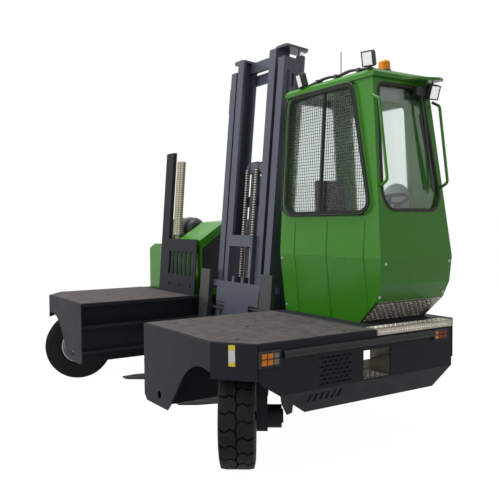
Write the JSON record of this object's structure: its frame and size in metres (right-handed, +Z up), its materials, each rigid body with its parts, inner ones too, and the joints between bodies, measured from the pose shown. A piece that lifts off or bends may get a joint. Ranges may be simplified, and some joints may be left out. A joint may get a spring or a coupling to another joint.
{
  "type": "multidirectional forklift",
  "caption": "Four-way long-load forklift: steered wheels in a flat U-shaped platform, a reaching mast with forks, a cab on one side and the engine bay on the other.",
  "frame": {"origin": "ground level under the middle of the whole machine's outline", "axes": "+X towards the cab side, forks and open load bay towards -Y, +Z up"},
  "size_m": [4.2998, 2.3177, 3.4951],
  "materials": {
    "amber_lens": "glossy",
    "black_paint": "satin",
    "black_plastic": "matte",
    "bottle_paint": "satin",
    "chain_steel": "oiled",
    "charcoal_paint": "satin",
    "chrome_rod": "polished",
    "clear_glass": "clear",
    "green_paint": "semi-gloss",
    "mast_steel": "satin",
    "rim_paint": "semi-gloss",
    "seat_cloth": "matte",
    "shield_steel": "satin",
    "tread_plate": "brushed",
    "tyre_rubber": "matte"
  },
  "bodies": {
    "chassis_body": {"beacon": "amber_lens", "cab_floor": "charcoal_paint", "cab_fork_side_wall": "green_paint", "cab_glass": "clear_glass", "cab_inner_wall": "green_paint", "cab_lamps": "black_plastic", "cab_outer_wall": "green_paint", "cab_rear_wall": "green_paint", "cab_roof": "green_paint", "chassis_frame": "charcoal_paint", "end_plate_cab_side": "charcoal_paint", "end_plate_engine_side": "charcoal_paint", "engine_block": "black_paint", "engine_enclosure": "green_paint", "exhaust_stack": "shield_steel", "gas_bottle": "bottle_paint", "grab_rails": "green_paint", "load_guard": "charcoal_paint", "platform_cab_side": "charcoal_paint", "platform_engine_side": "charcoal_paint", "reach_barrel": "black_paint", "rear_panel": "charcoal_paint", "seat": "seat_cloth", "side_lamps": "amber_lens", "side_panel_cab_side": "charcoal_paint", "side_panel_engine_side": "charcoal_paint", "side_rub_bars": "black_paint", "side_steps": "tread_plate", "steering_console": "black_plastic", "window_guard": "black_paint"},
    "reach_carriage_body": {"reach_carriage": "mast_steel", "reach_rod": "chrome_rod"},
    "outer_mast_body": {"outer_mast": "mast_steel", "lift_barrels": "mast_steel"},
    "inner_mast_body": {"inner_mast": "mast_steel", "lift_rods": "chrome_rod", "free_lift_barrel": "mast_steel"},
    "free_lift_body": {"free_lift_head": "mast_steel"},
    "fork_carriage_body": {"fork_carriage": "mast_steel", "leaf_chains": "chain_steel"},
    "fork_cab_side_body": {"fork_cab_side": "black_paint"},
    "fork_engine_side_body": {"fork_engine_side": "black_paint"},
    "tilt_barrel_body": {"tilt_barrels": "mast_steel"},
    "tilt_rod_body": {"tilt_rods": "chrome_rod"},
    "cab_door_body": {"cab_door": "green_paint", "cab_door_glass": "clear_glass"},
    "engine_hood_body": {"engine_hood": "green_paint"},
    "steering_leg_cab_side_body": {"steering_leg_cab_side": "charcoal_paint"},
    "wheel_cab_side_body": {"rim_cab_side": "rim_paint", "tyre_cab_side": "tyre_rubber"},
    "steering_leg_engine_side_body": {"steering_leg_engine_side": "charcoal_paint"},
    "wheel_engine_side_body": {"rim_engine_side": "rim_paint", "tyre_engine_side": "tyre_rubber"},
    "steering_leg_rear_body": {"steering_leg_rear": "charcoal_paint"},
    "wheel_rear_body": {"rim_rear": "rim_paint", "tyre_rear": "tyre_rubber"}
  },
  "joints": [
    {"name": "steer_cab_side", "type": "hinge", "parent": "chassis_body", "child": "steering_leg_cab_side_body", "pos_m": [1.717, -0.801, 0.8], "axis": [0, 0, 1], "range_deg": [-55.2, 34.8]},
    {"name": "steer_engine_side", "type": "hinge", "parent": "chassis_body", "child": "steering_leg_engine_side_body", "pos_m": [-1.717, -0.801, 0.8], "axis": [0, 0, 1], "range_deg": [-68.5, 21.5]},
    {"name": "steer_rear", "type": "hinge", "parent": "chassis_body", "child": "steering_leg_rear_body", "pos_m": [0, 0.82, 0.7], "axis": [0, 0, 1], "range_deg": [-90, 90]},
    {"name": "spin_cab_side", "type": "hinge", "parent": "steering_leg_cab_side_body", "child": "wheel_cab_side_body", "pos_m": [1.717, -0.801, 0.3675], "axis": [0.5707, 0.8211, 0], "continuous": true},
    {"name": "spin_engine_side", "type": "hinge", "parent": "steering_leg_engine_side_body", "child": "wheel_engine_side_body", "pos_m": [-1.717, -0.801, 0.3675], "axis": [0.9304, -0.3665, 0], "continuous": true},
    {"name": "spin_rear", "type": "hinge", "parent": "steering_leg_rear_body", "child": "wheel_rear_body", "pos_m": [0, 0.82, 0.298], "axis": [1, 0, 0], "continuous": true},
    {"name": "reach", "type": "slide", "parent": "chassis_body", "child": "reach_carriage_body", "axis": [0, -1, 0], "range_m": [0, 0.9]},
    {"name": "mast_tilt", "type": "hinge", "parent": "reach_carriage_body", "child": "outer_mast_body", "pos_m": [0, 0.54, 0.67], "axis": [1, 0, 0], "range_deg": [0, 8.2]},
    {"name": "mast_lift", "type": "slide", "parent": "outer_mast_body", "child": "inner_mast_body", "axis": [0, 0.0906, 0.9959], "range_m": [0, 1.9]},
    {"name": "free_lift", "type": "slide", "parent": "inner_mast_body", "child": "free_lift_body", "axis": [0, 0.0906, 0.9959], "range_m": [0, 0.8]},
    {"name": "fork_lift", "type": "slide", "parent": "inner_mast_body", "child": "fork_carriage_body", "axis": [0, 0.0906, 0.9959], "range_m": [0, 1.6], "deforming": ["leaf_chains"]},
    {"name": "fork_spread_cab_side", "type": "slide", "parent": "fork_carriage_body", "child": "fork_cab_side_body", "axis": [-1, 0, 0], "range_m": [0, 0.25]},
    {"name": "fork_spread_engine_side", "type": "slide", "parent": "fork_carriage_body", "child": "fork_engine_side_body", "axis": [1, 0, 0], "range_m": [0, 0.25]},
    {"name": "tilt_barrel_swing", "type": "hinge", "parent": "reach_carriage_body", "child": "tilt_barrel_body", "pos_m": [0, 0.805, 0.812], "axis": [1, 0, 0], "range_deg": [0, 5.2]},
    {"name": "tilt_rod_stroke", "type": "slide", "parent": "tilt_barrel_body", "child": "tilt_rod_body", "axis": [0, -0.7691, 0.6391], "range_m": [0, 0.0395]},
    {"name": "cab_door_swing", "type": "hinge", "parent": "chassis_body", "child": "cab_door_body", "pos_m": [1.7, 1.104, 1.9], "axis": [0, 0, -1], "range_deg": [0, 100]},
    {"name": "engine_hood_swing", "type": "hinge", "parent": "chassis_body", "child": "engine_hood_body", "pos_m": [-1.04, 1.012, 1.738], "axis": [-1, 0, 0], "range_deg": [0, 60]}
  ],
  "couplings": [
    {"joint": "free_lift", "follows": "fork_lift", "ratio": 0.5},
    {"joint": "tilt_barrel_swing", "follows": "mast_tilt", "ratio": 0.62731},
    {"joint": "tilt_rod_stroke", "follows": "mast_tilt", "m_per_rad": 0.27309}
  ]
}
